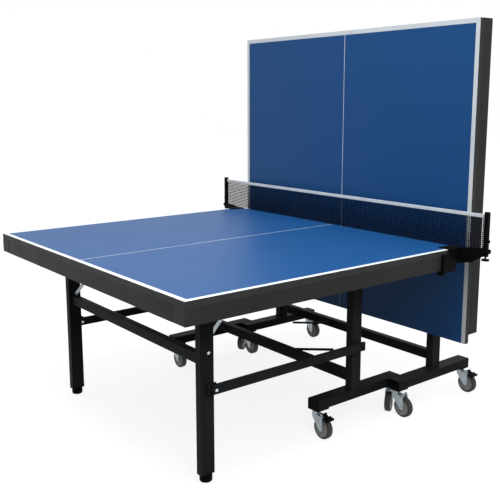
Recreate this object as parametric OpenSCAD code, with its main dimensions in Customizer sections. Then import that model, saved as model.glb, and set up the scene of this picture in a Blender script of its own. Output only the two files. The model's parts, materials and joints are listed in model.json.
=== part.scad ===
// Folding table tennis table: two half tops on nesting trolleys, one half level and one half upright.
// Left half ("a") lies level, right half ("b") stands upright; +X runs from half a to half b, +Z is up.

/* [Table top] */
// Length of one half top
half_len = 1370; // [1300:5:1400]
// Width of the table
top_w = 1525; // [1400:5:1560]
// Height of the playing surface
top_z = 760; // [740:1:780]
// Thickness of the board
board_t = 24; // [19:1:26]
// Height of the steel apron under the board
apron_h = 59; // [50:1:62]
// Thickness of the apron profile
apron_t = 25; // [18:1:32]
// Length of bare edge between the apron and the net end
bare_edge = 38; // [30:1:60]
// Leg length of the corner pieces
corner_leg = 65; // [50:1:80]
// Lip by which the corner pieces stand proud of the aprons
corner_lip = 0.8; // [0.4:0.1:1.5]

/* [Under frame] */
// Width of the long rails under the board
rail_w = 34; // [25:1:40]
// Depth of the long rails under the board
rail_d = 28; // [20:1:30]
// Distance of the long rails from the centre line
rail_y = 622; // [618:1:660]
// Width of the cross members
tie_w = 36; // [25:1:40]
// Place of the net end cross member from the net end
tie_near = 110; // [90:1:200]
// Length of the net end cross member
tie_near_len = 900; // [700:5:930]
// Place of the outer cross member from the outer end
tie_end = 70; // [50:1:120]

/* [Fold] */
// Distance of the fold pin from the net end
fold_x = 375; // [360:1:385]
// Depth of the fold pin below the playing surface
fold_d = 60; // [58:1:64]
// Radius of the fold pins
fold_pin_r = 6; // [4:0.5:8]
// Running clearance of every pin in its bore, on the radius
pin_gap = 0.05; // [0.02:0.01:0.1]
// Thickness of the hinge ears
ear_t = 4; // [3:0.5:5]
// Side clearance beside a hinge ear or a moving bar
side_gap = 0.5; // [0.3:0.1:1.2]
// Reach of the hinge ears towards the outer end
ear_out = 42; // [36:1:45]
// Reach of the hinge ears towards the net end
ear_in = 30; // [22:1:36]
// Height of the upright half's lower edge
lift_z = 325; // [315:1:340]
// Place of the upright playing surface from the net line
upright_x = 64; // [62:1:80]

/* [Trolleys] */
// Length of a base beam with its end caps
beam_len = 500; // [460:1:540]
// Width of a base beam
beam_w = 60; // [50:1:70]
// Height of a base beam
beam_h = 40; // [30:1:50]
// Height of the beams' upper face
beam_top = 158; // [150:1:170]
// Wall of the base beams
beam_wall = 2.5; // [2:0.5:4]
// Distance between the middles of a trolley's two beams
track = 1070; // [1060:1:1080]
// Clearance between two nested beams
nest_gap = 2; // [1:0.5:6]
// Thickness of the plastic end caps
cap_t = 4; // [3:0.5:8]
// Length of the cap's lip under the beam
cap_lip = 64; // [48:1:80]
// Thickness of the cap's lip
cap_lip_t = 6; // [4:0.5:8]
// Distance of the post's middle from the beam's outer end
post_in = 219; // [200:1:240]
// Width of a post along the beam
post_w = 54; // [44:1:56]
// Depth of a post across the beam
post_d = 36; // [30:1:48]
// Wall of the posts
post_wall = 3; // [2:0.5:5]
// Distance of the fold pin from the post's middle
post_off = 7; // [6:0.5:10]
// Radius of the post's head
head_r = 26; // [20:1:28]
// Height of the cross rail's lower face
cross_z = 188; // [175:1:230]
// Height of the cross rail
cross_h = 43; // [30:1:50]
// Thickness of the cross rail
cross_t = 30; // [20:1:40]

/* [Casters] */
// Diameter of a wheel
wheel_dia = 90; // [75:1:90]
// Width of a wheel
wheel_w = 25; // [20:1:26]
// Diameter of the wheel's centre
wheel_core = 70; // [50:1:72]
// Distance of the wheel axle from the swivel pin
trail = 42; // [30:1:48]
// Distance of the swivel pin from the beam's end
swivel_in = 21; // [20:1:23]
// Radius of the swivel head
swivel_r = 18; // [14:1:19]
// Radius of the swivel pin
swivel_pin_r = 6; // [4:0.5:8]
// Thickness of the fork's sheet
fork_t = 2.5; // [2:0.5:3]
// Clearance between the wheel and the fork's cheeks
fork_gap = 1.5; // [1:0.5:2]
// Clearance between the wheel's tread and the fork's crown
crown_gap = 4; // [3:0.5:5]
// Radius of a wheel axle
axle_r = 5; // [3:0.5:6]
// Slope of a brake pedal
pedal_slope = 24; // [10:1:30]
// Reach of the fork behind its swivel pin
fork_tail = 8; // [6:1:12]
// Height of the axle nuts
nut_t = 1.5; // [1:0.5:2]
// Length of a brake pedal
pedal_len = 34; // [24:1:44]
// Width of a brake pedal
pedal_w = 40; // [30:1:46]
// Angle by which trolley a's inner casters stand turned, so that trolley b's casters roll past them
caster_turn = 60; // [60:1:75]

/* [Legs] */
// Distance of the legs' middle from the net line
leg_x = 1140; // [1120:1:1160]
// Distance of the legs' middle from the centre line
leg_y = 531; // [529:1:533]
// Width of a leg
leg_w = 58; // [50:1:62]
// Depth of a leg
leg_d = 30; // [24:1:30]
// Wall of a leg
leg_wall = 2; // [1.5:0.5:3]
// Distance of the leg's pin from the leg's middle
leg_off = 12; // [8:1:14]
// Length of leg above its pin
leg_head = 20; // [14:1:24]
// Height of the leg rail's lower face
leg_rail_z = 438; // [430:1:444]
// Height of the leg rail
leg_rail_h = 42; // [36:1:46]
// Thickness of the leg rail
leg_rail_t = 28; // [20:1:34]
// Height of the legs' lower ends
foot_h = 29; // [20:1:36]
// Radius of the levelling feet
foot_r = 24; // [18:1:28]
// Radius of the levelling feet's stem
foot_stem_r = 6; // [4:0.5:8]

/* [Link bars] */
// Height of the link bar pins
link_z = 354; // [350:1:370]
// Distance of the link bar pins from the fold pins, towards the net end
link_off = 9; // [7:0.5:12]
// Gap between a leg and its link bar
link_gap = 10; // [9.5:0.5:14]
// Width of the block on the leg that carries the link bar
link_pad_w = 39; // [34:1:44]
// Height of the block on the leg that carries the link bar
link_pad_h = 40; // [36:1:50]
// Height of the link bar's section
link_h = 35; // [28:1:36]
// Depth of the link bar's section
link_d = 13.5; // [10:0.5:14]
// Sheet thickness of the link bar
link_t = 2.5; // [2:0.5:4]
// Length of link bar beyond its pins
link_end = 13; // [13:0.5:16]
// Radius of the link pins
link_pin_r = 5; // [3:0.5:6]
// Radius of the link pins' heads
link_head_r = 7.5; // [6.5:0.5:9]

/* [Stays] */
// Distance of the stay's upper pin from the net line
stay_x = 950; // [940:1:962]
// Depth of the stay's upper pin below the playing surface
stay_d = 70; // [66:1:74]
// Height of the stay's seat on the leg
stay_seat_z = 489; // [480:1:500]
// Distance of the stay's seat from the leg's pin, towards the outer end
stay_seat_off = 10; // [4:1:16]
// Width of a stay
stay_w = 16; // [12:1:18]
// Thickness of a stay
stay_t = 3; // [2:0.5:4]
// Radius of the stay's pin
stay_pin_r = 4; // [3:0.5:5]

/* [Release levers] */
// Place of the lever's pin along the cross rail, from the table's centre line
lever_y = 95; // [80:1:140]
// Distance of the lever's pin from the cross rail
lever_x = 12; // [10:1:16]
// Height of the lever's middle
lever_z = 213; // [205:1:216]
// Length of the lever
lever_len = 195; // [150:1:230]
// Angle of the lever from the trolley's X axis
lever_turn = 41; // [30:1:55]
// Width of the lever
lever_w = 14; // [10:1:18]
// Thickness of the lever
lever_t = 8; // [5:1:10]

/* [Net] */
// Height of the net
net_h = 152.5; // [150:0.5:155]
// Distance of the net posts beyond the table's side
net_out = 120; // [110:0.5:160]
// Thickness of the net's solid
net_t = 3; // [2:0.5:4]
// Clearance of the net from the board's edge and surface
net_gap = 1; // [0.5:0.5:2]
// Width of a net post along X
net_post_w = 16; // [12:1:20]
// Depth of a net post along Y
net_post_d = 18; // [14:1:24]
// Height of a net post above the net's top
net_post_over = 10; // [6:1:16]
// Height of a net post's foot above the board's underside
post_foot = 4; // [2:1:8]
// Distance of the height disc below the post's foot
disc_drop = 11; // [8:1:16]
// Radius of the height disc
disc_r = 16; // [12:1:18]
// Reach of the upper jaw along the board's side
jaw_x = 80; // [70:1:110]
// Reach of the upper jaw over the board
jaw_top_y = 52; // [40:1:66]
// Reach of the lower jaw under the apron and the board
jaw_y = 66; // [60:1:70]
// Thickness of the upper jaw
jaw_top_t = 3; // [2:0.5:5]
// Clearance between the clamp's back and the board's side
back_gap = 0.5; // [0.4:0.1:1]
// Thickness of the clamp's back
back_t = 8; // [6:1:12]
// Reach of the clamp's housing along the apron
housing_x = 125; // [90:1:140]
// Thickness of the clamp's housing
housing_t = 14; // [10:1:18]
// Height of the clamp's housing above the board's underside
housing_over = 8; // [2:1:14]
// Clearance of the lower jaw below the apron
jaw_drop = 3; // [2:1:8]
// Distance of the clamp screw from the board's net end
screw_x = 62; // [61:1:66]
// Radius of the clamp screw
screw_r = 5; // [4:0.5:6]
// Radius of the clamp's knob
knob_r = 18; // [14:1:18]
// Height of the clamp's knob
knob_h = 22; // [16:1:24]
// Thickness of the gusset that carries a net post
gusset_t = 6; // [4:1:8]
// Height of the gusset beside the board
gusset_h = 66; // [50:1:80]
// Rise of the gusset's upper edge towards the post
gusset_rise = 12; // [4:1:20]
// Distance of the gusset's bend from the post
gusset_run = 48; // [40:1:56]
// Distance of the gusset's bend below the board
gusset_drop = 28; // [20:1:32]

/* [Hidden] */
$fn = 48;

// places along X are counted from the net line, then moved so that the origin is the middle of the base
half_w = top_w / 2;
under_z = top_z - board_t;
apron_z = under_z - apron_h;
tie_far = half_len - tie_end;
fold_z = top_z - fold_d;
fold_to_edge = fold_z - lift_z;
side_shift = (beam_w + nest_gap) / 2;
near_beam_y = -(track / 2 - side_shift);
far_beam_y = track / 2 + side_shift;
post_a_x = -fold_x + post_off;
beam_a_out = post_a_x - post_in;
fold_b_x = upright_x + fold_d;
post_b_x = fold_b_x - post_off;
beam_b_out = post_b_x + post_in;
origin_x = -(beam_b_out - half_len) / 2;
beam_low = beam_top - beam_h;
cap_low = beam_low - cap_lip_t;
wheel_r = wheel_dia / 2;
crown_z = wheel_dia + crown_gap;
leg_pin_x = leg_x - leg_off;
link_len = leg_pin_x - fold_x;
link_drop = fold_z - link_z;
stay_z = top_z - stay_d;
stay_run = leg_pin_x + stay_seat_off - stay_x;
stay_fall = stay_z - stay_seat_z;
stay_len = sqrt(stay_run * stay_run + stay_fall * stay_fall);
stay_angle = atan2(stay_fall, stay_run);
leg_in = leg_y - leg_d / 2;
leg_out = leg_y + leg_d / 2;
stay_gap = 10;
stay_in = leg_in - stay_gap;
net_post_y = half_w + net_out;
seam = 0.2;
rail_stop = 20;
plate_t = 4;
lug_r = 14;
lug_t = 6;
ear_r = fold_pin_r + 9;
leg_ear_out = 52;
leg_ear_in = 22;
plug_h = 16;
bolt_head_r = 6;
bolt_head_t = 4;
link_head_t = 4;
link_boss_r = 14;
link_eye_r = 13;
lever_lug_r = 11;
lever_pin_r = 4;
pedal_pin_r = 3;
pedal_boss_r = 5.5;
pedal_t = 6;
pedal_ear = 10;
pedal_ear_t = 4;
pedal_pin_y = -trail - 4;
pedal_pin_z = crown_z + fork_t + pedal_boss_r + 1;

// ---- places -------------------------------------------------------------------------------------

// trolley and level half a, drawn in place
module at_a() {
  translate([origin_x, 0, 0]) children();
}

// trolley b: a half turn of trolley a about the upright axis, set at fold pin b
module at_b() {
  translate([origin_x + fold_b_x, 0, 0]) rotate([0, 0, 180]) translate([fold_x, 0, 0]) children();
}

// half b: turned up about its fold pin
module upright_b() {
  at_b() turn_at(-fold_x, fold_z, 90) children();
}

// link bars b stand upright from their lower pins
module links_up_b() {
  at_b() turn_at(-fold_x + link_off, link_z, 90) children();
}

// legs b hang from the raised leg pins
module hung_b() {
  at_b() translate([link_len, 0, link_len]) children();
}

// turn about an axis along Y through (x, z)
module turn_at(x, z, angle) {
  translate([x, 0, z]) rotate([0, angle, 0]) translate([-x, 0, -z]) children();
}

// a cylinder along Y from y0 to y1
module rod_y(x, z, y0, y1, r) {
  translate([x, min(y0, y1), z]) rotate([-90, 0, 0]) cylinder(h = abs(y1 - y0), r = r);
}

// a cylinder along X from x0 to x1
module rod_x(y, z, x0, x1, r) {
  translate([min(x0, x1), y, z]) rotate([0, 90, 0]) cylinder(h = abs(x1 - x0), r = r);
}

// a box between two corners
module box(x0, x1, y0, y1, z0, z1) {
  translate([min(x0, x1), min(y0, y1), min(z0, z1)]) cube([abs(x1 - x0), abs(y1 - y0), abs(z1 - z0)]);
}

// a rectangular tube along X with wall t
module tube_x(x0, x1, y, w, z0, h, t) {
  difference() {
    box(x0, x1, y - w / 2, y + w / 2, z0, z0 + h);
    box(x0 - 1, x1 + 1, y - w / 2 + t, y + w / 2 - t, z0 + t, z0 + h - t);
  }
}

// ---- half top -------------------------------------------------------------------------------------

module board() {
  color("royalblue") box(-half_len + corner_lip, 0, -half_w + corner_lip, half_w - corner_lip, under_z,
    top_z);
}

module side_aprons() {
  color([0.16, 0.16, 0.16]) for (s = [-1, 1]) {
    difference() {
      box(-half_len + corner_leg, -bare_edge, s * (half_w - apron_t), s * (half_w - corner_lip), apron_z,
        under_z);
      // the profile's long hollow
      box(-half_len, -bare_edge + 1, s * (half_w - apron_t + 2), s * (half_w - corner_lip - 2),
        apron_z + 2, under_z - 2);
    }
  }
}

module end_apron() {
  color([0.26, 0.26, 0.25]) difference() {
    box(-half_len + corner_lip, -half_len + apron_t, -half_w + corner_leg, half_w - corner_leg, apron_z,
      under_z);
    box(-half_len + corner_lip + 2, -half_len + apron_t - 2, -half_w, half_w, apron_z + 2, under_z - 2);
  }
}

module corner_pieces() {
  color([0.12, 0.12, 0.12]) for (s = [-1, 1]) {
    difference() {
      box(-half_len, -half_len + corner_leg, s * (half_w - corner_leg), s * half_w, apron_z, under_z);
      box(-half_len + apron_t, -half_len + corner_leg + 1, s * (half_w - corner_leg - 1),
        s * (half_w - apron_t),
        apron_z - 1, under_z + 1);
    }
  }
}

module under_frame() {
  low = under_z - rail_d;
  tie_half = rail_y - rail_w / 2 - seam;
  lug = stay_in - stay_t - side_gap;
  color([0.15, 0.15, 0.15]) {
    for (s = [-1, 1]) {
      box(-half_len + apron_t, -bare_edge - rail_stop, s * (rail_y - rail_w / 2),
        s * (rail_y + rail_w / 2), low, under_z);
      // lug, pin and pin head that carry a stay
      box(-stay_x - lug_r, -stay_x + lug_r, s * lug, s * (lug - lug_t), stay_z, under_z);
      rod_y(-stay_x, stay_z, s * lug, s * (lug - lug_t), lug_r);
      box(-stay_x - 2 * lug_r, -stay_x + 2 * lug_r, s * lug, s * (lug - 2 * lug_r), under_z - plate_t,
        under_z);
      rod_y(-stay_x, stay_z, s * (lug - 1), s * (stay_in + 1), stay_pin_r);
      rod_y(-stay_x, stay_z, s * (stay_in + side_gap), s * (stay_in + side_gap + 3), stay_pin_r + 3);
    }
    box(-tie_far - tie_w / 2, -tie_far + tie_w / 2, -tie_half, tie_half, low, under_z);
    box(-tie_near - tie_w / 2, -tie_near + tie_w / 2, -tie_near_len / 2, tie_near_len / 2, low, under_z);
  }
}

// two ears and a pin around a bar that is w wide at y, with the pin at x
module hinge_bracket(x, y, w, out, in) {
  inner = w / 2 + side_gap;
  for (s = [-1, 1]) {
    translate([x, y + s * (inner + ear_t / 2) + ear_t / 2, fold_z]) rotate([90, 0,
      0]) linear_extrude(ear_t) {
      polygon([[-out, fold_d - board_t], [in, fold_d - board_t], [in, fold_d - board_t - plate_t],
        [ear_r, 0], [-ear_r, 0], [-out, fold_d - board_t - plate_t]]);
      circle(ear_r);
    }
  }
  box(x - out, x - out + 10, y - inner, y + inner, under_z - plate_t, under_z);
  rod_y(x, fold_z, y - inner - ear_t, y + inner + ear_t, fold_pin_r);
}

module fold_brackets() {
  color([0.2, 0.2, 0.2]) {
    for (y = [near_beam_y, far_beam_y]) {
      hinge_bracket(-fold_x, post_y(y), post_d, ear_out, ear_in);
    }
    for (s = [-1, 1]) {
      hinge_bracket(-leg_pin_x, s * leg_y, leg_d, leg_ear_out, leg_ear_in);
    }
  }
}

// ---- legs, links, stays ---------------------------------------------------------------------------

module legs() {
  pin_x = -leg_pin_x + link_off;
  pad_end = pin_x + link_eye_r;
  front = -leg_x + leg_w / 2;
  back = -leg_x - leg_w / 2;
  color([0.13, 0.13, 0.14]) for (s = [-1, 1]) {
    // both link bars lie on the -Y side of their legs
    face = s * leg_y - leg_d / 2;
    bar = link_y(s);
    difference() {
      union() {
        difference() {
          box(back, front, s * leg_in, s * leg_out, foot_h, fold_z + leg_head);
          box(back + leg_wall, front - leg_wall, s * (leg_in + leg_wall), s * (leg_out - leg_wall),
            foot_h + plug_h, fold_z + leg_head - leg_wall);
        }
        // pin boss through the leg's head
        rod_y(-leg_pin_x, fold_z, s * (leg_in + leg_wall / 2), s * (leg_out - leg_wall / 2),
          fold_pin_r + 4);
        // block for the link bar's pin
        box(pad_end - link_pad_w, pad_end, face + leg_wall / 2, bar + side_gap, link_z - link_pad_h / 2,
          link_z + link_pad_h / 2);
      }
      rod_y(-leg_pin_x, fold_z, s * (leg_in - 1), s * (leg_out + 1), fold_pin_r + pin_gap);
      translate([-leg_x, s * leg_y, foot_h - 1]) cylinder(h = plug_h + 2, r = foot_stem_r + pin_gap);
    }
    rod_y(pin_x, link_z, face, bar - link_d - side_gap - 1, link_pin_r);
    rod_y(pin_x, link_z, bar - link_d - side_gap, bar - link_d - side_gap - link_head_t, link_head_r);
    // seat for the stay's lower end, with its bolt head on the leg's outer face
    rod_y(-leg_pin_x - stay_seat_off, stay_seat_z, s * (leg_in + 1), s * (stay_in + side_gap),
      stay_pin_r + 2);
    rod_y(-leg_pin_x - stay_seat_off + 2, stay_seat_z, s * (leg_out - 1), s * (leg_out + bolt_head_t),
      bolt_head_r);
  }
}

module leg_rail() {
  color([0.14, 0.14, 0.15]) difference() {
    box(-leg_x - leg_rail_t / 2, -leg_x + leg_rail_t / 2, -leg_in, leg_in, leg_rail_z,
      leg_rail_z + leg_rail_h);
    box(-leg_x - leg_rail_t / 2 + 2, -leg_x + leg_rail_t / 2 - 2, -leg_in + 2, leg_in - 2,
      leg_rail_z + 2, leg_rail_z + leg_rail_h - 2);
  }
}

module foot(s) {
  color([0.08, 0.08, 0.08]) translate([-leg_x, s * leg_y, 0]) {
    rotate_extrude() polygon([[0, 0], [foot_r - 6, 0], [foot_r - 2, 2], [foot_r, 6], [foot_r,
      foot_h - side_gap],
      [foot_stem_r, foot_h - side_gap], [foot_stem_r, foot_h + plug_h + 14], [0, foot_h + plug_h + 14]]);
  }
}

// inner face of the link bar beside the near or far leg
function link_y(s) = s * leg_y - leg_d / 2 - link_gap;

module link_bars() {
  x0 = -leg_pin_x + link_off;
  x1 = -fold_x + link_off;
  low = link_z - link_h / 2;
  high = link_z + link_h / 2;
  color([0.14, 0.13, 0.13]) for (y = [link_y(-1), link_y(1)]) {
    web = y - link_d;
    difference() {
      union() {
        box(x0 - link_end, x1 + link_end, web, web + link_t, low, high);
        box(x0 - link_end, x1 + link_end, web, y, high - link_t, high);
        box(x0 - link_end, x1 + link_end, web, y, low, low + link_t);
        // eyes that bear on the pins
        rod_y(x0, link_z, web, y, link_eye_r);
        rod_y(x1, link_z, web, y, link_eye_r);
      }
      rod_y(x0, link_z, web - 1, y + 1, link_pin_r + pin_gap);
      rod_y(x1, link_z, web - 1, y + 1, link_pin_r + pin_gap);
    }
  }
}

// stays drawn hooked on the legs, then turned up by the given angle about their upper pins
module stays(turn) {
  color([0.72, 0.73, 0.74]) for (s = [-1, 1]) {
    turn_at(-stay_x, stay_z, turn) turn_at(-stay_x, stay_z, -stay_angle) difference() {
      union() {
        box(-stay_x - stay_len, -stay_x, s * stay_in, s * (stay_in - stay_t), stay_z - stay_w / 2,
          stay_z + stay_w / 2);
        rod_y(-stay_x, stay_z, s * stay_in, s * (stay_in - stay_t), stay_w / 2);
        rod_y(-stay_x - stay_len, stay_z, s * stay_in, s * (stay_in - stay_t), stay_w / 2);
      }
      rod_y(-stay_x, stay_z, s * (stay_in + 1), s * (stay_in - stay_t - 1), stay_pin_r + pin_gap);
      rod_y(-stay_x - stay_len, stay_z, s * (stay_in + 1), s * (stay_in - stay_t - 1), stay_pin_r);
    }
  }
}

// ---- trolley --------------------------------------------------------------------------------------

// post middle across the table for the beam at y: a post is flush with the beam's -Y side
function post_y(y) = y - beam_w / 2 + post_d / 2;

module base_beams() {
  color([0.14, 0.14, 0.15]) for (y = [near_beam_y, far_beam_y]) {
    difference() {
      tube_x(beam_a_out + cap_t, beam_a_out + beam_len - cap_t, y, beam_w, beam_low, beam_h, beam_wall);
      for (x = [beam_a_out + swivel_in, beam_a_out + beam_len - swivel_in]) {
        translate([x, y, beam_low - 1]) cylinder(h = beam_wall + 2, r = swivel_pin_r + 1);
      }
    }
  }
}

module end_caps() {
  color([0.05, 0.05, 0.05]) for (y = [near_beam_y, far_beam_y]) for (s = [-1, 1]) {
    end = s < 0 ? beam_a_out : beam_a_out + beam_len;
    difference() {
      union() {
        box(end, end - s * cap_t, y - beam_w / 2, y + beam_w / 2, cap_low, beam_top);
        box(end, end - s * cap_lip, y - beam_w / 2, y + beam_w / 2, cap_low, beam_low);
        box(end - s * cap_t, end - s * (cap_t + 8), y - beam_w / 2 + beam_wall, y + beam_w / 2 - beam_wall,
          beam_low + beam_wall, beam_top - beam_wall);
      }
      translate([end - s * swivel_in, y, cap_low - 1]) cylinder(h = cap_lip_t + 2,
        r = swivel_pin_r + pin_gap);
    }
  }
}

module posts() {
  left = post_a_x - post_w / 2;
  right = post_a_x + post_w / 2;
  color([0.13, 0.13, 0.14]) for (beam = [near_beam_y, far_beam_y]) {
    y = post_y(beam);
    low_y = y - post_d / 2;
    high_y = y + post_d / 2;
    // both link bars lie on the -Y side of their posts
    bar = link_y(beam < 0 ? -1 : 1);
    difference() {
      union() {
        difference() {
          box(left, right, low_y, high_y, beam_top, fold_z);
          box(left + post_wall, right - post_wall, low_y + post_wall, high_y - post_wall,
            beam_top - 1, fold_z - head_r);
        }
        rod_y(-fold_x, fold_z, low_y, high_y, head_r);
      }
      rod_y(-fold_x, fold_z, low_y - 1, high_y + 1, fold_pin_r + pin_gap);
    }
    rod_y(-fold_x + link_off, link_z, low_y + post_wall / 2, bar + side_gap, link_boss_r);
    rod_y(-fold_x + link_off, link_z, low_y + post_wall / 2, bar - link_d - side_gap - 1, link_pin_r);
    rod_y(-fold_x + link_off, link_z, bar - link_d - side_gap, bar - link_d - side_gap - link_head_t,
      link_head_r);
  }
}

module cross_rail() {
  y0 = post_y(near_beam_y) + post_d / 2;
  y1 = post_y(far_beam_y) - post_d / 2;
  face = post_a_x + cross_t / 2;
  ledge = lever_z - lever_t / 2 - side_gap;
  color([0.12, 0.12, 0.13]) {
    difference() {
      box(post_a_x - cross_t / 2, face, y0, y1, cross_z, cross_z + cross_h);
      box(post_a_x - cross_t / 2 + 2, face - 2, y0 + 2, y1 - 2, cross_z + 2, cross_z + cross_h - 2);
    }
    // lug and pin of the release lever
    box(face - 1, face + lever_x, -lever_y - lever_lug_r, -lever_y + lever_lug_r, ledge - plate_t, ledge);
    translate([face + lever_x, -lever_y, ledge - plate_t]) cylinder(h = plate_t, r = lever_lug_r);
    translate([face + lever_x, -lever_y, ledge - plate_t]) cylinder(h = plate_t + lever_t + 3,
      r = lever_pin_r);
  }
}

module release_lever() {
  color([0.06, 0.06, 0.06]) translate([post_a_x + cross_t / 2 + lever_x, -lever_y, lever_z - lever_t / 2])
    rotate([0, 0, -lever_turn]) difference() {
      union() {
        cylinder(h = lever_t, r = lever_lug_r - 2);
        translate([0, -lever_w / 2, 0]) cube([lever_len - lever_w / 2, lever_w, lever_t]);
        translate([lever_len - lever_w / 2, 0, 0]) cylinder(h = lever_t, r = lever_w / 2);
      }
      translate([0, 0, -1]) cylinder(h = lever_t + 2, r = lever_pin_r + pin_gap);
    }
}

// ---- casters --------------------------------------------------------------------------------------

// place of a caster's swivel pin in the finished frame
function beam_y_of(side, trolley) = trolley == "a" ? (side < 0 ? near_beam_y : far_beam_y)
  : (side < 0 ? -far_beam_y : -near_beam_y);
function caster_x(trolley, inner) = trolley == "a"
  ? beam_a_out + (inner ? beam_len - swivel_in : swivel_in)
  : beam_b_out - (inner ? beam_len - swivel_in : swivel_in);

module at_caster(trolley, side, inner) {
  translate([origin_x + caster_x(trolley, inner), beam_y_of(side, trolley), 0])
    rotate([0, 0, trolley == "a" && inner ? -caster_turn : 0]) children();
}

module fork() {
  half = wheel_w / 2 + fork_gap;
  crown_top = crown_z + fork_t;
  color([0.62, 0.66, 0.68]) {
    // crown plate over the wheel
    box(-half - fork_t, half + fork_t, -trail - fork_tail, fork_tail, crown_z, crown_top);
    // cheeks
    for (s = [-1, 1]) {
      translate([s > 0 ? half : -half - fork_t, 0, 0]) rotate([90, 0, 90]) linear_extrude(fork_t) polygon([
        [fork_tail, crown_top], [fork_tail, crown_z - 10], [-trail + 11, wheel_r - 6],
        [-trail + 5, wheel_r - 11], [-trail - 5, wheel_r - 11], [-trail - 11, wheel_r - 5],
        [-trail - fork_tail, crown_top]
      ]);
    }
    // swivel head and pin
    translate([0, 0, crown_z]) cylinder(h = cap_low - side_gap - crown_z, r = swivel_r);
    translate([0, 0, crown_z]) cylinder(h = beam_low + beam_wall + 8 - crown_z, r = swivel_pin_r);
    // axle with its nuts
    rod_x(-trail, wheel_r, -half - fork_t, half + fork_t, axle_r);
    rod_x(-trail, wheel_r, -half - fork_t - nut_t, -half - 1, axle_r + 3);
    rod_x(-trail, wheel_r, half + 1, half + fork_t + nut_t, axle_r + 3);
    // pin of the brake pedal and the ears that hold it
    rod_x(pedal_pin_y, pedal_pin_z, -pedal_ear - pedal_ear_t, pedal_ear + pedal_ear_t, pedal_pin_r);
    for (s = [-1, 1]) {
      box(s * pedal_ear, s * (pedal_ear + pedal_ear_t), pedal_pin_y - 4, pedal_pin_y + 8, crown_z,
        pedal_pin_z + 4);
    }
  }
}

module wheel() {
  color([0.2, 0.2, 0.2]) translate([0, -trail, wheel_r]) rotate([0, 90, 0]) difference() {
    rotate_extrude() polygon([
      [axle_r + pin_gap, -wheel_w / 2], [14, -wheel_w / 2], [16, -wheel_w / 2 + 3], [wheel_core / 2 - 4,
        -wheel_w / 2 + 3],
      [wheel_core / 2, -wheel_w / 2 + 1], [wheel_r - 5, -wheel_w / 2 + 2], [wheel_r - 1, -wheel_w / 2 + 6],
      [wheel_r, -wheel_w / 2 + 11], [wheel_r, wheel_w / 2 - 11], [wheel_r - 1, wheel_w / 2 - 6],
      [wheel_r - 5, wheel_w / 2 - 2], [wheel_core / 2, wheel_w / 2 - 1], [wheel_core / 2 - 4,
        wheel_w / 2 - 3],
      [16, wheel_w / 2 - 3], [14, wheel_w / 2], [axle_r + pin_gap, wheel_w / 2]
    ]);
  }
}

module pedal() {
  arm = pedal_ear - side_gap;
  color([0.05, 0.05, 0.05]) difference() {
    union() {
      rod_x(pedal_pin_y, pedal_pin_z, -arm, arm, pedal_boss_r);
      translate([0, pedal_pin_y, pedal_pin_z]) rotate([pedal_slope, 0, 0]) {
        box(-arm, arm, -pedal_len / 2, 0, -pedal_t / 2, pedal_t / 2);
        box(-pedal_w / 2, pedal_w / 2, -pedal_len - 6, -pedal_len / 2, -pedal_t / 2, pedal_t / 2);
        box(-pedal_w / 2, pedal_w / 2, -pedal_len - 6, -pedal_len, -pedal_t / 2, pedal_t / 2 + 4);
      }
    }
    rod_x(pedal_pin_y, pedal_pin_z, -pedal_ear, pedal_ear, pedal_pin_r + pin_gap);
  }
}

// ---- net ------------------------------------------------------------------------------------------

module net() {
  reach = net_post_y - net_post_d / 2;
  color([0.1, 0.11, 0.16]) translate([origin_x, 0, 0])
    box(net_gap, net_gap + net_t, -reach, reach, top_z + net_gap, top_z + net_h);
}

module net_clamp(s) {
  post_x = net_gap + net_t / 2;
  back_in = half_w + back_gap;
  back_out = back_in + back_t;
  top = top_z + jaw_top_t;
  jaw_high = apron_z - jaw_drop;
  jaw_low = jaw_high - plate_t;
  post_in = net_post_y - net_post_d / 2;
  post_low = under_z + post_foot;
  color([0.05, 0.05, 0.06]) translate([origin_x, 0, 0]) {
    difference() {
      union() {
        // jaw on the board and back beside it
        box(-jaw_x, 0, s * (half_w - jaw_top_y), s * back_out, top_z, top);
        box(-jaw_x, -gusset_t + 1, s * back_in, s * back_out, top - gusset_h, top);
        // housing beside the apron and jaw below it
        box(-housing_x, -screw_x + knob_r, s * back_in, s * (back_in + housing_t), jaw_low,
          under_z + housing_over);
        box(-jaw_x, -screw_x + knob_r, s * (half_w - jaw_y), s * (back_in + 1), jaw_low, jaw_high);
        // gusset out to the post
        translate([-gusset_t, 0, 0]) rotate([90, 0, 90]) linear_extrude(gusset_t) polygon([
          [s * back_in, top], [s * (post_in + 1), top + gusset_rise], [s * (post_in + 1), post_low],
          [s * (post_in - gusset_run), under_z - gusset_drop], [s * back_out, top - gusset_h],
          [s * back_in, top - gusset_h]
        ]);
        // post
        box(-gusset_t, post_x + net_post_w / 2, s * post_in, s * (net_post_y + net_post_d / 2),
          post_low, top_z + net_h + net_post_over);
        // height screw below the post and its disc
        translate([post_x, s * net_post_y, post_low - disc_drop]) cylinder(h = disc_drop + 1, r = 3.5);
        translate([post_x, s * net_post_y, post_low - disc_drop - 6]) cylinder(h = 7, r = disc_r);
        // two small knobs on the outer face
        rod_y(post_x, top_z + 3, s * net_post_y, s * (net_post_y + net_post_d / 2 + 10), 10);
        rod_y(post_x, top_z + 44, s * net_post_y, s * (net_post_y + net_post_d / 2 + 7), 6);
      }
      translate([-screw_x, s * (half_w - jaw_y + 18), jaw_low - 1]) cylinder(h = plate_t + 2,
        r = screw_r + pin_gap);
    }
  }
}

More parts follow.
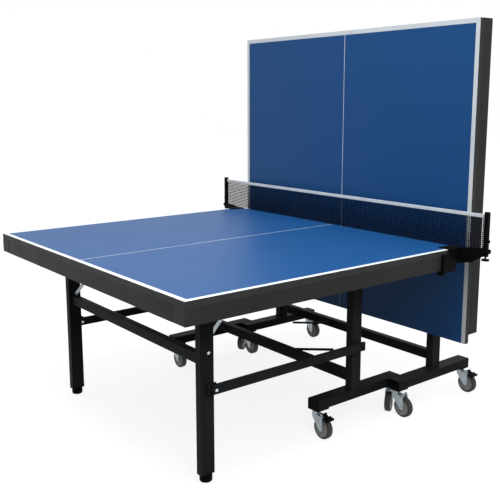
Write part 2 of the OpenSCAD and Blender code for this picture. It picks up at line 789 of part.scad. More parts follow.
module clamp_screw(s) {
  jaw_low = apron_z - jaw_drop - plate_t;
  color([0.05, 0.05, 0.06]) translate([origin_x - screw_x, s * (half_w - jaw_y + 18), 0]) {
    translate([0, 0, jaw_low - 12]) cylinder(h = under_z - 2 - jaw_low + 12, r = screw_r);
    translate([0, 0, under_z - 6 - side_gap]) cylinder(h = 6, r = screw_r + 6);
    translate([0, 0, jaw_low - 4 - knob_h]) cylinder(h = knob_h, r = knob_r);
  }
}

// ---- nodes ----------------------------------------------------------------------------------------

at_a() board();  // board_a
at_a() side_aprons();  // side_aprons_a
at_a() end_apron();  // end_apron_a
at_a() corner_pieces();  // corner_pieces_a
at_a() under_frame();  // under_frame_a
at_a() fold_brackets();  // fold_brackets_a
at_a() legs();  // legs_a
at_a() leg_rail();  // leg_rail_a
at_a() foot(-1);  // foot_near_a
at_a() foot(1);  // foot_far_a
at_a() link_bars();  // link_bars_a
at_a() stays(0);  // stays_a
at_a() base_beams();  // base_beams_a
at_a() posts();  // posts_a
at_a() end_caps();  // end_caps_a
at_a() cross_rail();  // cross_rail_a
at_a() release_lever();  // release_lever_a
upright_b() board();  // board_b
upright_b() side_aprons();  // side_aprons_b
upright_b() end_apron();  // end_apron_b
upright_b() corner_pieces();  // corner_pieces_b
upright_b() under_frame();  // under_frame_b
upright_b() fold_brackets();  // fold_brackets_b
hung_b() legs();  // legs_b
hung_b() leg_rail();  // leg_rail_b
hung_b() foot(1);  // foot_near_b
hung_b() foot(-1);  // foot_far_b
links_up_b() link_bars();  // link_bars_b
upright_b() stays(stay_angle);  // stays_b
at_b() base_beams();  // base_beams_b
at_b() posts();  // posts_b
at_b() end_caps();  // end_caps_b
at_b() cross_rail();  // cross_rail_b
at_b() release_lever();  // release_lever_b
at_caster("a", -1, false) fork();  // fork_a_near_out
at_caster("a", -1, true) fork();  // fork_a_near_in
at_caster("a", 1, false) fork();  // fork_a_far_out
at_caster("a", 1, true) fork();  // fork_a_far_in
at_caster("b", -1, false) fork();  // fork_b_near_out
at_caster("b", -1, true) fork();  // fork_b_near_in
at_caster("b", 1, false) fork();  // fork_b_far_out
at_caster("b", 1, true) fork();  // fork_b_far_in
at_caster("a", -1, false) wheel();  // wheel_a_near_out
at_caster("a", -1, true) wheel();  // wheel_a_near_in
at_caster("a", 1, false) wheel();  // wheel_a_far_out
at_caster("a", 1, true) wheel();  // wheel_a_far_in
at_caster("b", -1, false) wheel();  // wheel_b_near_out
at_caster("b", -1, true) wheel();  // wheel_b_near_in
at_caster("b", 1, false) wheel();  // wheel_b_far_out
at_caster("b", 1, true) wheel();  // wheel_b_far_in
at_caster("a", -1, false) pedal();  // pedal_a_near
at_caster("a", 1, false) pedal();  // pedal_a_far
at_caster("b", -1, false) pedal();  // pedal_b_near
at_caster("b", 1, false) pedal();  // pedal_b_far
net();
net_clamp(-1);  // net_clamp_near
net_clamp(1);  // net_clamp_far
clamp_screw(-1);  // clamp_screw_near
clamp_screw(1);  // clamp_screw_far
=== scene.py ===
"""Looks of a folding table tennis table: painted tops, powder coated frames, casters, net and studio."""

import json
import math

import bmesh
import bpy
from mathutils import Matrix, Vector

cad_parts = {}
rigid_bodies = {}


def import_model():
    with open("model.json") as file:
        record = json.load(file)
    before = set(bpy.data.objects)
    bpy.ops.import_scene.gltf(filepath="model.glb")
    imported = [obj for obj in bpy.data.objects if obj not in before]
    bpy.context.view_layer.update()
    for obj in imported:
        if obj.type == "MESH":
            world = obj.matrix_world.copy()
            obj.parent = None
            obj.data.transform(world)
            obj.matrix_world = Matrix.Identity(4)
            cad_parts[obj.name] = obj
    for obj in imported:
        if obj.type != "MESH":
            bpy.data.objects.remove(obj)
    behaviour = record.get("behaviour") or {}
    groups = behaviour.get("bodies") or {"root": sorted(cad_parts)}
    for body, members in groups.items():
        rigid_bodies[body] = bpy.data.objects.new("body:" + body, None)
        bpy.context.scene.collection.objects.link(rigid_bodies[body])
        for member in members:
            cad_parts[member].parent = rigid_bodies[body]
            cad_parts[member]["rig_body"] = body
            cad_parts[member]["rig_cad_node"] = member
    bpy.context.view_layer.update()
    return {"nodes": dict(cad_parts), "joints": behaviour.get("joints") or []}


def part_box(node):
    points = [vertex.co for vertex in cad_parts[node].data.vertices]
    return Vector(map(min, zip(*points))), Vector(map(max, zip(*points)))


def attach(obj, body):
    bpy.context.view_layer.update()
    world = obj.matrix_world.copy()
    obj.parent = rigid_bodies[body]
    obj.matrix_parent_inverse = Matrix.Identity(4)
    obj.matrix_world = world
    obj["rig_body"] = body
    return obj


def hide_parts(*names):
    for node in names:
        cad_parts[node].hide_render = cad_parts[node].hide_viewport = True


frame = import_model()

bl_info = {
    "name": "Folding Table Tennis Table",
    "version": (1, 0, 0),
    "blender": (4, 5, 0),
    "location": "View3D > Sidebar > Table Tennis",
    "description": "Dresses the folding table tennis table piece by piece",
    "category": "Add Mesh",
}

HALVES = ("a", "b")
SIDES = ("near", "far")
# outer faces of the legs' bolt heads, distance between the legs and radius of the link bars' eyes
LEG_OUTER = 0.55
LEG_SPACING = 1.062
LINK_EYE = 0.013
# place of a stay's seat: above the leg's foot and in from the leg's back face
SEAT_HEIGHT = 0.46
SEAT_INSET = 0.033
# bolt head: radius, height, rounding, and the rim and depth of its socket
BOLT_RADIUS = 0.0062
BOLT_HEIGHT = 0.0025
BOLT_ROUND = 0.0011
BOLT_RIM = 0.0022
SOCKET_SLOPE = 0.0004
SOCKET_DEPTH = 0.0012
# wheel: rounding and width of its tread, then width and depth of each ring from the tread to the hub
TREAD_ROUND = 0.006
TREAD_RING = 0.0108
WHEEL_RINGS = ((0.0045, 0.0), (0.0018, -0.0016), (0.0022, 0.0), (0.0175, 0.0), (0.0012, 0.002), (0.0035, 0.0))
# rounding of the boards' and the net band's edges, thickness of the net's twine
THIN_ROUND = 0.0012
TWINE = 0.0012
# angles of edges that are rounded, of edges that stay smooth and of faces that count as one
SHARP_ANGLE = math.radians(30.0)
SMOOTH_ANGLE = math.radians(35.0)
FLAT_ANGLE = math.radians(1.0)
FACE_WEIGHT = 90
MERGE_DISTANCE = 0.00001
NOISE_ROUGHNESS = 0.55
# lamps: name, place, aim, size and power
LAMPS = (
    ("key_lamp", (-1.0, -1.3, 5.0), (-0.1, 0.0, 0.8), 2.6, 180.0),
    ("fill_lamp", (-1.6, -3.6, 3.2), (0.2, 0.0, 0.7), 2.0, 33.0),
)
CAMERA_PLACE = (-2.0652, -2.6273, 1.3660)
CAMERA_TURN = (math.radians(90 - 9.725), 0.0, math.radians(51.416 - 90))
CAMERA_LENS = 53.98
CAMERA_SHIFT = (-0.0107, -0.0429)
# strength of the floor's glow and its share of what is seen
FLOOR_GLOW = 1.2
FLOOR_SHARE = 0.72
CASTERS = [f"{h}_{s}_{e}" for h in HALVES for s in SIDES for e in ("out", "in")]


# ---- settings ---------------------------------------------------------------------------------------


class TableSizes(bpy.types.PropertyGroup):
    """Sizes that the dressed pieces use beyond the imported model's own."""

    line_width: bpy.props.FloatProperty(
        name="Line width", description="Width of the white side and end lines", default=0.02, unit="LENGTH"
    )
    centre_line: bpy.props.FloatProperty(
        name="Centre line", description="Width of the white centre line", default=0.003, unit="LENGTH"
    )
    edge_round: bpy.props.FloatProperty(
        name="Edge rounding", description="Rounding of the steel tubes' edges", default=0.003, unit="LENGTH"
    )
    mesh_pitch: bpy.props.FloatProperty(
        name="Mesh pitch", description="Distance of the net's strands", default=0.0085, unit="LENGTH"
    )
    strand: bpy.props.FloatProperty(
        name="Strand", description="Width of the net's strands", default=0.0032, unit="LENGTH"
    )
    band_height: bpy.props.FloatProperty(
        name="Band height", description="Height of the white band along the net's top", default=0.015, unit="LENGTH"
    )


class TableColours(bpy.types.PropertyGroup):
    """Colours of the finishes, as linear values."""

    top_blue: bpy.props.FloatVectorProperty(
        name="Playing surface", description="Blue of the playing surface", default=(0.008, 0.075, 0.235),
        subtype="COLOR", size=3
    )
    line_white: bpy.props.FloatVectorProperty(
        name="Lines", description="White of the painted lines", default=(0.76, 0.8, 0.82), subtype="COLOR", size=3
    )
    coat_black: bpy.props.FloatVectorProperty(
        name="Leg coat", description="Powder coat of legs, posts and brackets", default=(0.032, 0.032, 0.034),
        subtype="COLOR", size=3
    )
    beam_black: bpy.props.FloatVectorProperty(
        name="Beam coat", description="Powder coat of the trolleys' beams", default=(0.021, 0.021, 0.022),
        subtype="COLOR", size=3
    )
    apron_grey: bpy.props.FloatVectorProperty(
        name="Apron coat", description="Coat of the aprons", default=(0.042, 0.042, 0.0408), subtype="COLOR", size=3
    )
    plastic_black: bpy.props.FloatVectorProperty(
        name="Black plastic", description="Moulded caps, knobs and clamps", default=(0.005, 0.005, 0.005),
        subtype="COLOR", size=3
    )
    wheel_grey: bpy.props.FloatVectorProperty(
        name="Wheel centre", description="Grey plastic of the wheel centres", default=(0.42, 0.41, 0.385),
        subtype="COLOR", size=3
    )
    tread_grey: bpy.props.FloatVectorProperty(
        name="Tread", description="Rubber of the treads", default=(0.022, 0.022, 0.022), subtype="COLOR", size=3
    )
    zinc: bpy.props.FloatVectorProperty(
        name="Zinc", description="Zinc plated steel", default=(0.31, 0.35, 0.375), subtype="COLOR", size=3
    )
    net_dark: bpy.props.FloatVectorProperty(
        name="Net", description="Twine of the net", default=(0.003, 0.005, 0.014), subtype="COLOR", size=3
    )
    floor_white: bpy.props.FloatVectorProperty(
        name="Floor", description="Pale studio floor", default=(0.97, 0.97, 0.97), subtype="COLOR", size=3
    )


def sizes():
    return bpy.context.scene.table_sizes


def colours():
    return bpy.context.scene.table_colours


# ---- finishes ---------------------------------------------------------------------------------------


def new_finish(name):
    """An empty material with its node tree, or the one already made."""
    finish = bpy.data.materials.get(name)
    if finish:
        return finish, None
    finish = bpy.data.materials.new(name)
    finish.use_nodes = True
    return finish, finish.node_tree


def object_noise(tree, scale, detail):
    """Noise over the object's own coordinates, in metres."""
    place = tree.nodes.new("ShaderNodeTexCoord")
    noise = tree.nodes.new("ShaderNodeTexNoise")
    noise.inputs["Scale"].default_value = scale
    noise.inputs["Detail"].default_value = detail
    noise.inputs["Roughness"].default_value = NOISE_ROUGHNESS
    tree.links.new(place.outputs["Object"], noise.inputs["Vector"])
    return noise.outputs["Fac"]


def spread(tree, value, low, high, start=0.3, end=0.7):
    """Spreads a noise value between two numbers."""
    ramp = tree.nodes.new("ShaderNodeMapRange")
    ramp.inputs["From Min"].default_value = start
    ramp.inputs["From Max"].default_value = end
    ramp.inputs["To Min"].default_value = low
    ramp.inputs["To Max"].default_value = high
    tree.links.new(value, ramp.inputs["Value"])
    return ramp.outputs["Result"]


def tint(tree, value, dark, light):
    """Mixes two colours by a value."""
    mix = tree.nodes.new("ShaderNodeMix")
    mix.data_type = "RGBA"
    mix.inputs["A"].default_value = (*dark, 1.0)
    mix.inputs["B"].default_value = (*light, 1.0)
    tree.links.new(value, mix.inputs["Factor"])
    return mix.outputs["Result"]


def bump(tree, value, strength, distance):
    """Bump from a height value."""
    node = tree.nodes.new("ShaderNodeBump")
    node.inputs["Strength"].default_value = strength
    node.inputs["Distance"].default_value = distance
    tree.links.new(value, node.inputs["Height"])
    return node.outputs["Normal"]


def scaled(colour, factor):
    """A lighter or darker shade of a colour."""
    return tuple(min(1.0, c * factor) for c in colour)


def surface(name, colour, rough, vary=0.12, rough_vary=0.06, grain=400.0, relief=0.15, depth=0.0002, metal=0.0,
            patch=6.0, specular=0.5):
    """A finish with slow colour variation, uneven gloss and a fine relief."""
    finish, tree = new_finish(name)
    if tree is None:
        return finish
    shader = tree.nodes["Principled BSDF"]
    shader.inputs["Metallic"].default_value = metal
    shader.inputs["Specular IOR Level"].default_value = specular
    slow = object_noise(tree, patch, 4.0)
    share = spread(tree, slow, 0.0, 1.0)
    tree.links.new(tint(tree, share, scaled(colour, 1 - vary), scaled(colour, 1 + vary)), shader.inputs["Base Color"])
    gloss = object_noise(tree, patch * 3, 6.0)
    tree.links.new(spread(tree, gloss, rough - rough_vary, rough + rough_vary), shader.inputs["Roughness"])
    fine = object_noise(tree, grain, 2.0)
    tree.links.new(bump(tree, fine, relief, depth), shader.inputs["Normal"])
    return finish


def board_paint():
    return surface("board_blue", colours().top_blue, 0.46, vary=0.03, rough_vary=0.012, grain=900.0, relief=0.2,
                   depth=0.0001, patch=1.2, specular=0.24)


def line_paint():
    return surface("board_line_white", colours().line_white, 0.5, vary=0.04, grain=900.0, relief=0.15, depth=0.0001)


def board_edge():
    return surface("board_edge_grey", scaled(colours().apron_grey, 1.25), 0.5, vary=0.1, grain=500.0, relief=0.2,
                   specular=0.1)


def board_back():
    return surface("board_back_black", scaled(colours().plastic_black, 1.6), 0.6, vary=0.3, grain=260.0, relief=0.35,
                   depth=0.0004)


def powder_coat():
    return surface("powder_coat_black", colours().coat_black, 0.42, vary=0.15, rough_vary=0.05, grain=650.0,
                   relief=0.28, depth=0.0003, specular=0.025)


def beam_coat():
    return surface("beam_coat_black", colours().beam_black, 0.45, vary=0.15, rough_vary=0.05, grain=650.0,
                   relief=0.28, depth=0.0003, specular=0.025)


def apron_coat():
    return surface("apron_coat_grey", colours().apron_grey, 0.42, vary=0.1, rough_vary=0.05, grain=650.0, relief=0.25,
                   depth=0.0003, specular=0.06)


def moulded_plastic():
    return surface("moulded_plastic_black", colours().plastic_black, 0.45, vary=0.2, rough_vary=0.06, grain=1100.0,
                   relief=0.35, depth=0.0003, specular=0.025)


def zinc_plate():
    return surface("zinc_plate", colours().zinc, 0.34, vary=0.16, rough_vary=0.1, grain=300.0, relief=0.12, metal=1.0,
                   patch=30.0)


def bolt_zinc():
    return surface("bolt_zinc", scaled(colours().zinc, 2.4), 0.5, vary=0.08, rough_vary=0.08, grain=500.0, relief=0.1,
                   metal=0.6, patch=60.0)


def wheel_plastic():
    return surface("wheel_plastic_grey", colours().wheel_grey, 0.45, vary=0.08, grain=900.0, relief=0.2, patch=25.0)


def tread_rubber():
    return surface("tread_rubber", colours().tread_grey, 0.62, vary=0.25, rough_vary=0.1, grain=700.0, relief=0.3,
                   patch=25.0)


def net_twine():
    return surface("net_twine", colours().net_dark, 0.8, vary=0.3, grain=1500.0, relief=0.5, depth=0.0004, patch=80.0,
                   specular=0.05)


def band_cloth():
    return surface("net_band_cloth", (0.78, 0.8, 0.8), 0.85, vary=0.06, grain=1800.0, relief=0.5, depth=0.0003,
                   patch=40.0, specular=0.2)


# ---- modelling helpers ------------------------------------------------------------------------------


def close_edit():
    """Leaves edit mode."""
    if bpy.context.object and bpy.context.object.mode != "OBJECT":
        bpy.ops.object.mode_set(mode="OBJECT")


def nothing():
    """Leaves edit mode with no piece selected."""
    close_edit()
    bpy.ops.object.select_all(action="DESELECT")


def only(piece):
    """Selects one piece and nothing else."""
    nothing()
    piece.select_set(True)
    bpy.context.view_layer.objects.active = piece


def pick(piece, kind, test):
    """Opens edit mode with the faces, edges or points selected whose test holds."""
    only(piece)
    bpy.ops.object.mode_set(mode="EDIT")
    bpy.ops.mesh.select_mode(type=kind)
    bpy.ops.mesh.select_all(action="DESELECT")
    data = bmesh.from_edit_mesh(piece.data)
    found = {"FACE": data.faces, "EDGE": data.edges, "VERT": data.verts}[kind]
    for part in found:
        if test(part):
            part.select_set(True)
    data.select_flush_mode()
    bmesh.update_edit_mesh(piece.data)


def box_piece(name, low, high):
    """A box between two corners, its place kept in its mesh."""
    low, high = Vector(low), Vector(high)
    nothing()
    bpy.ops.mesh.primitive_cube_add(size=1.0, location=(low + high) / 2)
    piece = bpy.context.active_object
    piece.name = name
    piece.scale = high - low
    bpy.ops.object.transform_apply(location=True, rotation=True, scale=True)
    return piece


def rod_piece(name, middle, radius, length, axis="Z", sides=32):
    """A cylinder along X or Z, its place kept in its mesh."""
    turn = {"X": (0, math.pi / 2, 0), "Z": (0, 0, 0)}[axis]
    nothing()
    bpy.ops.mesh.primitive_cylinder_add(vertices=sides, radius=radius, depth=length, location=middle, rotation=turn)
    piece = bpy.context.active_object
    piece.name = name
    bpy.ops.object.transform_apply(location=True, rotation=True, scale=True)
    return piece


def bevel(piece, width, segments=2):
    """Rounds the sharp edges with an applied modifier."""
    only(piece)
    rounding = piece.modifiers.new("rounding", "BEVEL")
    rounding.width = width
    rounding.segments = segments
    rounding.limit_method = "ANGLE"
    rounding.angle_limit = SHARP_ANGLE
    rounding.use_clamp_overlap = True
    bpy.ops.object.modifier_apply(modifier=rounding.name)


def paint(piece, *finishes):
    """Gives a piece its finishes."""
    piece.data.materials.clear()
    for finish in finishes:
        piece.data.materials.append(finish)


def even_light(piece):
    """Keeps broad faces evenly lit beside their rounded edges."""
    only(piece)
    bpy.ops.object.shade_smooth_by_angle(angle=SMOOTH_ANGLE)
    evening = piece.modifiers.new("even_light", "WEIGHTED_NORMAL")
    evening.keep_sharp = True
    evening.weight = FACE_WEIGHT
    bpy.ops.object.modifier_apply(modifier=evening.name)


def done(piece, body, slot, *nodes):
    """Shades the piece, lets it ride on its body and hides the imported solids it replaces."""
    even_light(piece)
    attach(piece, body)
    if nodes:
        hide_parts(*nodes)
    return piece


def dressed_copy(node, name, round_width, segments):
    """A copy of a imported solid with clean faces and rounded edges."""
    source = frame["nodes"][node]
    only(source)
    bpy.ops.object.duplicate()
    piece = bpy.context.active_object
    piece.name = name
    piece.parent = None
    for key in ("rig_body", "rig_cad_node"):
        if key in piece:
            del piece[key]
    bpy.ops.object.mode_set(mode="EDIT")
    bpy.ops.mesh.select_all(action="SELECT")
    bpy.ops.mesh.remove_doubles(threshold=MERGE_DISTANCE)
    bpy.ops.mesh.dissolve_limited(angle_limit=FLAT_ANGLE)
    bpy.ops.object.mode_set(mode="OBJECT")
    bevel(piece, round_width, segments)
    return piece


def dress(node, finish, slot, round_width, segments=2):
    """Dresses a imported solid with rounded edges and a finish, on the solid's own body."""
    piece = dressed_copy(node, "dressed_" + node, round_width, segments)
    paint(piece, finish)
    return done(piece, frame["nodes"][node]["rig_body"], slot, node)


# ---- operators --------------------------------------------------------------------------------------


class TABLE_OT_tops(bpy.types.Operator):
    """Two half tops with rounded edges and painted lines"""

    bl_idname = "table.tops"
    bl_label = "Playing tops"

    def execute(self, context):
        line = sizes().line_width
        centre = sizes().centre_line / 2
        for half in HALVES:
            low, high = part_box("board_" + half)
            piece = box_piece("playing_top_" + half, low, high)
            bevel(piece, THIN_ROUND, 2)
            cuts = [((0, low.y + line, 0), (0, 1, 0)), ((0, high.y - line, 0), (0, 1, 0)),
                    ((0, -centre, 0), (0, 1, 0)), ((0, centre, 0), (0, 1, 0))]
            if half == "a":
                cuts.append(((low.x + line, 0, 0), (1, 0, 0)))
            else:
                cuts.append(((0, 0, high.z - line), (0, 0, 1)))
            only(piece)
            bpy.ops.object.mode_set(mode="EDIT")
            for point, normal in cuts:
                bpy.ops.mesh.select_all(action="SELECT")
                bpy.ops.mesh.bisect(plane_co=point, plane_no=normal)
            bpy.ops.object.mode_set(mode="OBJECT")
            paint(piece, board_edge(), board_paint(), line_paint(), board_back())
            for face in piece.data.polygons:
                out = face.normal.z if half == "a" else -face.normal.x
                if out > 0.6:
                    c = face.center
                    end = c.x < low.x + line if half == "a" else c.z > high.z - line
                    side = abs(c.y) > high.y - line
                    face.material_index = 2 if end or side or abs(c.y) < centre else 1
                elif out < -0.6:
                    face.material_index = 3
            done(piece, "half_" + half, "playing_surface", "board_" + half)
        return {"FINISHED"}


class TABLE_OT_aprons(bpy.types.Operator):
    """Side and end aprons with their corner pieces"""

    bl_idname = "table.aprons"
    bl_label = "Aprons"

    def execute(self, context):
        for half in HALVES:
            dress("side_aprons_" + half, apron_coat(), "steel_apron", 0.002, 3)
            dress("end_apron_" + half, apron_coat(), "steel_apron", 0.002, 3)
            dress("corner_pieces_" + half, moulded_corner(), "black_plastic", 0.0025, 3)
        return {"FINISHED"}


def moulded_corner():
    return surface("corner_plastic_grey", colours().apron_grey, 0.45, vary=0.12, grain=1100.0, relief=0.35,
                   depth=0.0003, specular=0.08)


class TABLE_OT_frames(bpy.types.Operator):
    """Steel tubes, brackets, bars and stays"""

    bl_idname = "table.frames"
    bl_label = "Frames"

    def execute(self, context):
        soft = sizes().edge_round
        for half in HALVES:
            for stem in ("under_frame_", "legs_", "leg_rail_", "posts_"):
                dress(stem + half, powder_coat(), "steel_frame", soft if stem != "legs_" else 0.0022, 3)
            for stem in ("base_beams_", "cross_rail_"):
                dress(stem + half, beam_coat(), "steel_frame", soft, 3)
            for stem in ("fold_brackets_", "link_bars_"):
                dress(stem + half, powder_coat(), "steel_frame", 0.0008, 2)
            dress("stays_" + half, zinc_plate(), "zinc_steel", 0.0006, 2)
            dress("end_caps_" + half, moulded_plastic(), "black_plastic", 0.0022, 3)
            dress("release_lever_" + half, moulded_plastic(), "black_plastic", 0.0015, 2)
            for side in SIDES:
                dress(f"foot_{side}_{half}", moulded_plastic(), "black_plastic", 0.001, 2)
        return {"FINISHED"}


class TABLE_OT_bolts(bpy.types.Operator):
    """Zinc plated bolts of the stays' seats and the link bars"""

    bl_idname = "table.bolts"
    bl_label = "Bolts"

    def execute(self, context):
        first = rod_piece("bolt_model", (0, 0, BOLT_HEIGHT / 2), BOLT_RADIUS, BOLT_HEIGHT, "Z", 28)
        pick(first, "EDGE", lambda e: all(v.co.z > 0.002 for v in e.verts))
        bpy.ops.mesh.bevel(offset=BOLT_ROUND, segments=3, profile=0.5)
        close_edit()
        # round socket
        pick(first, "FACE", lambda f: f.normal.z > 0.999)
        bpy.ops.mesh.inset(thickness=BOLT_RIM, depth=0.0)
        bpy.ops.mesh.inset(thickness=SOCKET_SLOPE, depth=-SOCKET_DEPTH)
        close_edit()
        paint(first, bolt_zinc())
        for half in HALVES:
            out = -1 if half == "a" else 1
            low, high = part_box("legs_" + half)
            bar_low, bar_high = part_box("link_bars_" + half)
            back = low.x if half == "a" else high.x
            places = [(f"seat_bolt_{half}_{i}", (back - out * SEAT_INSET, side * LEG_OUTER, low.z + SEAT_HEIGHT), side)
                      for i, side in enumerate((-1, 1))]
            # the link bars lie on one side of both legs
            side = out
            face = low.y if half == "a" else high.y
            pin_x = bar_low.x + LINK_EYE if half == "a" else (bar_low.x + bar_high.x) / 2
            pin_z = (bar_low.z + bar_high.z) / 2 if half == "a" else bar_high.z - LINK_EYE
            places += [(f"link_bolt_{half}_0", (pin_x, face, pin_z), side),
                       (f"link_bolt_{half}_1", (pin_x, face - side * LEG_SPACING, pin_z), side)]
            for name, place, side in places:
                only(first)
                bpy.ops.object.duplicate()
                piece = bpy.context.active_object
                piece.name = name
                piece.rotation_euler = (-side * math.pi / 2, 0, 0)
                piece.location = place
                bpy.ops.object.transform_apply(location=True, rotation=True, scale=False)
                done(piece, "legs_" + half, "zinc_steel")
        bpy.data.objects.remove(first)
        return {"FINISHED"}


class TABLE_OT_wheels(bpy.types.Operator):
    """Eight wheels with a grey centre and a dark tread"""

    bl_idname = "table.wheels"
    bl_label = "Wheels"

    def execute(self, context):
        # the outer wheels stand straight, so their boxes give the radius and the width
        low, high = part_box("wheel_" + CASTERS[0])
        radius = (high.z - low.z) / 2
        turns = {j["name"]: math.atan2(j["axis"][1], j["axis"][0]) for j in frame["joints"]}
        first = rod_piece("wheel_model", (0, 0, 0), radius, high.x - low.x, "X", 56)
        # round the tread's shoulders
        pick(first, "EDGE", lambda e: all(len([f for f in v.link_faces if abs(f.normal.x) > 0.9]) for v in e.verts)
             and len(e.link_faces) == 2 and any(abs(f.normal.x) > 0.9 for f in e.link_faces))
        bpy.ops.mesh.bevel(offset=TREAD_ROUND, segments=5, profile=0.62)
        close_edit()
        # tread ring, dished centre and hub
        for inset, push in WHEEL_RINGS:
            pick(first, "FACE", lambda f: abs(f.normal.x) > 0.999 and len(f.verts) > 20)
            bpy.ops.mesh.inset(thickness=inset, depth=push, use_even_offset=True)
            close_edit()
        paint(first, tread_rubber(), wheel_plastic())
        for face in first.data.polygons:
            c = face.center
            face.material_index = 0 if math.hypot(c.y, c.z) > radius - TREAD_RING else 1
        for name in CASTERS:
            low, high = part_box("wheel_" + name)
            only(first)
            bpy.ops.object.duplicate()
            piece = bpy.context.active_object
            piece.name = "dressed_wheel_" + name
            piece.rotation_euler = (0, 0, turns["roll_" + name])
            piece.location = (low + high) / 2
            bpy.ops.object.transform_apply(location=True, rotation=True, scale=False)
            done(piece, "wheel_" + name, "caster_wheel", "wheel_" + name)
        bpy.data.objects.remove(first)
        return {"FINISHED"}


class TABLE_OT_casters(bpy.types.Operator):
    """Zinc plated forks and black brake pedals"""

    bl_idname = "table.casters"
    bl_label = "Casters"

    def execute(self, context):
        for name in CASTERS:
            dress("fork_" + name, zinc_plate(), "zinc_steel", 0.0007, 2)
        for half in HALVES:
            for side in SIDES:
                dress(f"pedal_{half}_{side}", moulded_plastic(), "black_plastic", 0.0012, 2)
        return {"FINISHED"}


class TABLE_OT_net(bpy.types.Operator):
    """Knotted net with its white top band"""

    bl_idname = "table.net"
    bl_label = "Net"

    def execute(self, context):
        low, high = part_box("net")
        band = sizes().band_height
        pitch = sizes().mesh_pitch
        strand = sizes().strand
        middle_x = (low.x + high.x) / 2
        wide = high.y - low.y
        tall = high.z - low.z - band
        across = round(wide / pitch)
        up = round(tall / pitch)
        nothing()
        bpy.ops.mesh.primitive_grid_add(x_subdivisions=across, y_subdivisions=up, size=1.0)
        net = bpy.context.active_object
        net.name = "net_mesh"
        net.scale = (wide, tall, 1.0)
        net.rotation_euler = (math.pi / 2, 0, math.pi / 2)
        net.location = (middle_x, (low.y + high.y) / 2, low.z + tall / 2)
        bpy.ops.object.transform_apply(location=True, rotation=True, scale=True)
        bpy.ops.object.mode_set(mode="EDIT")
        bpy.ops.mesh.select_all(action="SELECT")
        bpy.ops.mesh.inset(thickness=strand / 2, use_individual=True, use_even_offset=True)
        bpy.ops.mesh.delete(type="FACE")
        bpy.ops.object.mode_set(mode="OBJECT")
        only(net)
        wall = net.modifiers.new("twine", "SOLIDIFY")
        wall.thickness = TWINE
        wall.offset = 0.0
        bpy.ops.object.modifier_apply(modifier=wall.name)
        paint(net, net_twine())
        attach(net, "half_a")
        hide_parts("net")
        top = box_piece("net_band", (low.x, low.y, high.z - band), (high.x, high.y, high.z))
        bevel(top, THIN_ROUND, 3)
        paint(top, band_cloth())
        done(top, "half_a", "net_fabric")
        return {"FINISHED"}


class TABLE_OT_net_clamps(bpy.types.Operator):
    """Net posts with gussets, clamps and screws"""

    bl_idname = "table.net_clamps"
    bl_label = "Net clamps"

    def execute(self, context):
        for side in SIDES:
            dress("net_clamp_" + side, moulded_plastic(), "black_plastic", 0.001, 2)
            dress("clamp_screw_" + side, moulded_plastic(), "black_plastic", 0.0015, 2)
        return {"FINISHED"}


def seen_from_outside(tree):
    """One for camera, glossy and transmission rays, nought for light that falls on the table."""
    path = tree.nodes.new("ShaderNodeLightPath")
    value = path.outputs["Is Camera Ray"]
    for other in ("Is Glossy Ray", "Is Transmission Ray"):
        larger = tree.nodes.new("ShaderNodeMath")
        larger.operation = "MAXIMUM"
        tree.links.new(value, larger.inputs[0])
        tree.links.new(path.outputs[other], larger.inputs[1])
        value = larger.outputs[0]
    return value


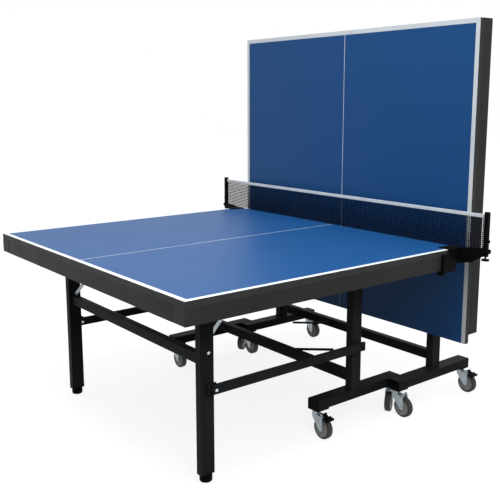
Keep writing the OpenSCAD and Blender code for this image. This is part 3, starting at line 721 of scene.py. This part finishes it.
class TABLE_OT_studio(bpy.types.Operator):
    """Pale floor, soft lamps, white surroundings and the camera"""

    bl_idname = "table.studio"
    bl_label = "Studio"

    def execute(self, context):
        nothing()
        bpy.ops.mesh.primitive_plane_add(size=40.0, location=(0, 0, -0.0005))
        floor = bpy.context.active_object
        floor.name = "studio_floor"
        finish, tree = new_finish("studio_floor_white")
        if tree:
            shader = tree.nodes["Principled BSDF"]
            shader.inputs["Roughness"].default_value = 0.9
            shader.inputs["Specular IOR Level"].default_value = 0.1
            tree.links.new(tint(tree, spread(tree, object_noise(tree, 1.0, 2.0), 0.0, 1.0), colours().floor_white,
                                scaled(colours().floor_white, 1.01)), shader.inputs["Base Color"])
            shown = seen_from_outside(tree)
            glow = tree.nodes.new("ShaderNodeEmission")
            glow.inputs["Color"].default_value = (1.0, 1.0, 1.0, 1.0)
            glow.inputs["Strength"].default_value = FLOOR_GLOW
            share = tree.nodes.new("ShaderNodeMath")
            share.operation = "MULTIPLY"
            share.inputs[1].default_value = FLOOR_SHARE
            tree.links.new(shown, share.inputs[0])
            blend = tree.nodes.new("ShaderNodeMixShader")
            tree.links.new(share.outputs[0], blend.inputs["Fac"])
            tree.links.new(shader.outputs["BSDF"], blend.inputs[1])
            tree.links.new(glow.outputs["Emission"], blend.inputs[2])
            dull = tree.nodes.new("ShaderNodeBsdfDiffuse")
            dull.inputs["Color"].default_value = (0.08, 0.08, 0.08, 1.0)
            choice = tree.nodes.new("ShaderNodeMixShader")
            tree.links.new(shown, choice.inputs["Fac"])
            tree.links.new(dull.outputs["BSDF"], choice.inputs[1])
            tree.links.new(blend.outputs["Shader"], choice.inputs[2])
            tree.links.new(choice.outputs["Shader"], tree.nodes["Material Output"].inputs["Surface"])
        paint(floor, finish)
        world = bpy.data.worlds.new("studio")
        bpy.context.scene.world = world
        world.use_nodes = True
        tree = world.node_tree
        tree.nodes.clear()
        out = tree.nodes.new("ShaderNodeOutputWorld")
        ambient = tree.nodes.new("ShaderNodeBackground")
        ambient.inputs["Color"].default_value = (0.93, 0.96, 1.0, 1.0)
        # the studio's light comes from above: it fades towards the horizon
        place = tree.nodes.new("ShaderNodeTexCoord")
        parts = tree.nodes.new("ShaderNodeSeparateXYZ")
        tree.links.new(place.outputs["Generated"], parts.inputs["Vector"])
        tree.links.new(spread(tree, parts.outputs["Z"], 0.05, 0.9, 0.1, 0.9), ambient.inputs["Strength"])
        white = tree.nodes.new("ShaderNodeBackground")
        white.inputs["Color"].default_value = (1.0, 1.0, 1.0, 1.0)
        white.inputs["Strength"].default_value = 1.0
        mix = tree.nodes.new("ShaderNodeMixShader")
        tree.links.new(seen_from_outside(tree), mix.inputs["Fac"])
        tree.links.new(ambient.outputs[0], mix.inputs[1])
        tree.links.new(white.outputs[0], mix.inputs[2])
        tree.links.new(mix.outputs[0], out.inputs["Surface"])
        for name, place, aim, size, power in LAMPS:
            nothing()
            bpy.ops.object.light_add(type="AREA", location=place)
            lamp = bpy.context.active_object
            lamp.name = name
            lamp.data.shape = "DISK"
            lamp.data.size = size
            lamp.data.energy = power
            lamp.rotation_mode = "QUATERNION"
            lamp.rotation_quaternion = (Vector(aim) - Vector(place)).to_track_quat("-Z", "Y")
        nothing()
        bpy.ops.object.camera_add(location=CAMERA_PLACE, rotation=CAMERA_TURN)
        camera = bpy.context.active_object
        camera.name = "studio_camera"
        camera.data.sensor_width = 36.0
        camera.data.lens = CAMERA_LENS
        camera.data.shift_x, camera.data.shift_y = CAMERA_SHIFT
        camera.data.clip_start = 0.05
        camera.data.clip_end = 200.0
        bpy.context.scene.camera = camera
        bpy.context.scene.view_settings.view_transform = "Standard"
        return {"FINISHED"}


class TABLE_PT_sidebar(bpy.types.Panel):
    """Sidebar list of the table's pieces"""

    bl_idname = "TABLE_PT_sidebar"
    bl_label = "Table Tennis Table"
    bl_space_type = "VIEW_3D"
    bl_region_type = "UI"
    bl_category = "Table Tennis"

    def draw(self, context):
        for step in STEPS:
            self.layout.operator(step.bl_idname)
        for name in TableSizes.__annotations__:
            self.layout.prop(context.scene.table_sizes, name)
        for name in TableColours.__annotations__:
            self.layout.prop(context.scene.table_colours, name)


STEPS = (TABLE_OT_studio, TABLE_OT_tops, TABLE_OT_aprons, TABLE_OT_frames, TABLE_OT_bolts, TABLE_OT_wheels,
         TABLE_OT_casters, TABLE_OT_net, TABLE_OT_net_clamps)
CLASSES = (TableSizes, TableColours, *STEPS, TABLE_PT_sidebar)


def register():
    for item in CLASSES:
        bpy.utils.register_class(item)
    bpy.types.Scene.table_sizes = bpy.props.PointerProperty(type=TableSizes)
    bpy.types.Scene.table_colours = bpy.props.PointerProperty(type=TableColours)


def unregister():
    del bpy.types.Scene.table_colours
    del bpy.types.Scene.table_sizes
    for item in reversed(CLASSES):
        bpy.utils.unregister_class(item)


def main():
    register()
    bpy.ops.table.studio()
    bpy.ops.table.tops()
    bpy.ops.table.aprons()
    bpy.ops.table.frames()
    bpy.ops.table.bolts()
    bpy.ops.table.wheels()
    bpy.ops.table.casters()
    bpy.ops.table.net()
    bpy.ops.table.net_clamps()
    nothing()


if __name__ == "__main__":
    main()
